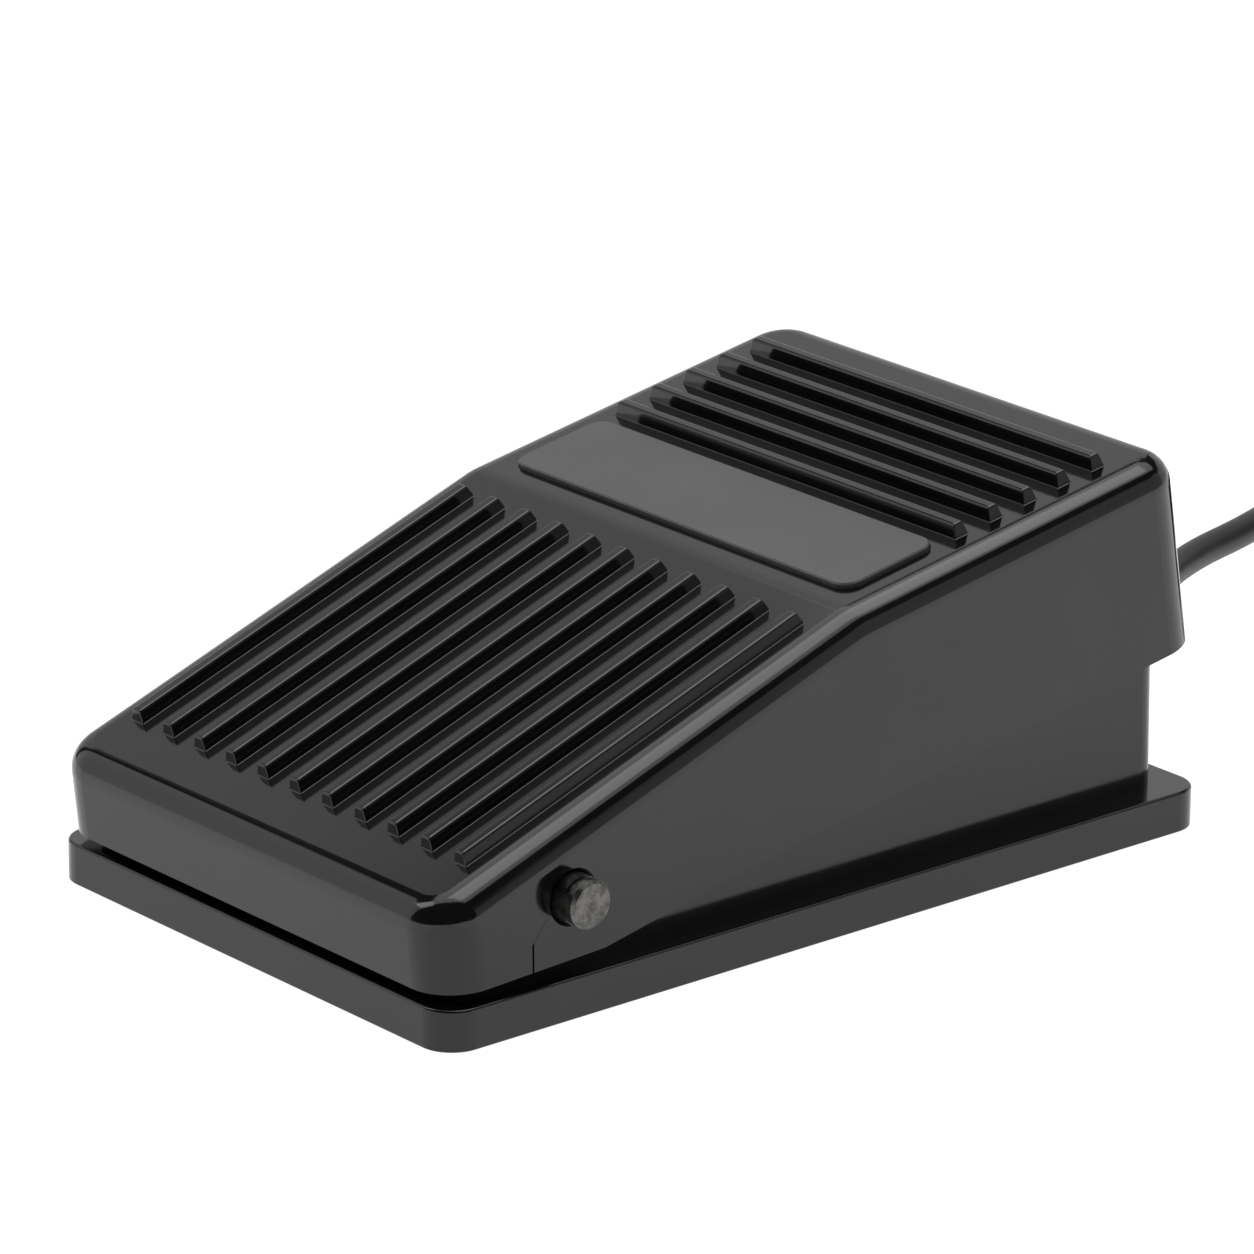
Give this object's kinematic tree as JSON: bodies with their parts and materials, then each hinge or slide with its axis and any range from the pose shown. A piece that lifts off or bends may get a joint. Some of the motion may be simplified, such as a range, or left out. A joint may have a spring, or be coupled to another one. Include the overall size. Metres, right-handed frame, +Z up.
{
  "type": "usb foot switch",
  "caption": "Low wedge-shaped foot switch: a ribbed sprung pedal hinged on a pin over a flanged base, with a snap switch, circuit board and a coiled lead with plug.",
  "frame": {"origin": "on the floor under the middle of the base, pedal released", "axes": "+X right, +Y from the hinge end to the high end where the lead leaves, +Z up"},
  "size_m": [0.0791, 0.2423, 0.042],
  "materials": {
    "housing_plastic": "satin black injection-moulded plastic",
    "pedal_plastic": "satin black injection-moulded plastic",
    "bottom_plastic": "fine-textured black plastic",
    "plate_face": "matt dark grey plastic plate",
    "pin_steel": "ground steel, slightly dulled",
    "screw_steel": "zinc-plated steel",
    "spring_steel": "bright spring wire",
    "contact_brass": "gold-flashed brass",
    "plug_steel": "nickel-plated steel",
    "tinned": "tinned metal",
    "foot_rubber": "black rubber",
    "boot_rubber": "soft black rubber",
    "cable_jacket": "black soft jacket",
    "core_insulation": "coloured insulation",
    "board_laminate": "green solder resist",
    "chip_epoxy": "black epoxy",
    "ceramic": "sintered ceramic",
    "can_sleeve": "dark blue sleeve",
    "white_plastic": "off-white plastic",
    "switch_plastic": "black glass-filled plastic",
    "plunger_plastic": "red plastic",
    "tie_fabric": "hook-and-loop strap"
  },
  "bodies": {
    "base": {"base_housing": "housing_plastic", "bottom_plate": "bottom_plastic", "bottom_screws": "screw_steel", "rubber_feet": "foot_rubber", "pivot_pin": "pin_steel", "bumper_pads": "foot_rubber", "circuit_board": "board_laminate", "board_screws": "screw_steel", "controller_chip": "chip_epoxy", "crystal": "tinned", "ceramic_capacitors": "ceramic", "resistors": "ceramic", "electrolytic_capacitor": "can_sleeve", "wire_header": "white_plastic", "wire_plug": "white_plastic", "core_wires": "core_insulation", "switch_case": "switch_plastic", "switch_cover": "switch_plastic", "switch_terminals": "tinned", "lever_pin": "screw_steel", "cable_clamp": "bottom_plastic", "clamp_screws": "screw_steel", "cable_boot": "boot_rubber", "cable_tail": "cable_jacket", "usb_cable": "cable_jacket", "cable_coil": "cable_jacket", "cable_tie": "tie_fabric", "plug_lead": "cable_jacket", "plug_body": "boot_rubber", "plug_shell": "plug_steel", "plug_tongue": "white_plastic", "plug_contacts": "contact_brass", "return_spring": "spring_steel"},
    "pedal": {"pedal_cover": "pedal_plastic", "nameplate": "plate_face"},
    "lever": {"switch_lever": "spring_steel"},
    "plunger": {"switch_plunger": "plunger_plastic"}
  },
  "joints": [
    {"name": "pedal_hinge", "type": "hinge", "parent": "base", "child": "pedal", "pos_m": [0, -0.0341, 0.0132], "axis": [-1, 0, 0], "range_deg": [0, 7], "stiffness_Nm_per_rad": 2.3, "springref_deg": -5.73, "deforming": ["return_spring"]},
    {"name": "lever_hinge", "type": "hinge", "parent": "base", "child": "lever", "pos_m": [0, 0.0044, 0.01735], "axis": [1, 0, 0], "range_deg": [0, 13.04]},
    {"name": "plunger_slide", "type": "slide", "parent": "base", "child": "plunger", "axis": [0, 0, -1], "range_m": [0, 0.000866]}
  ],
  "couplings": [
    {"joint": "lever_hinge", "follows": "pedal_hinge", "ratio": 1.8563},
    {"joint": "plunger_slide", "follows": "pedal_hinge", "m_per_rad": 0.0069256}
  ]
}
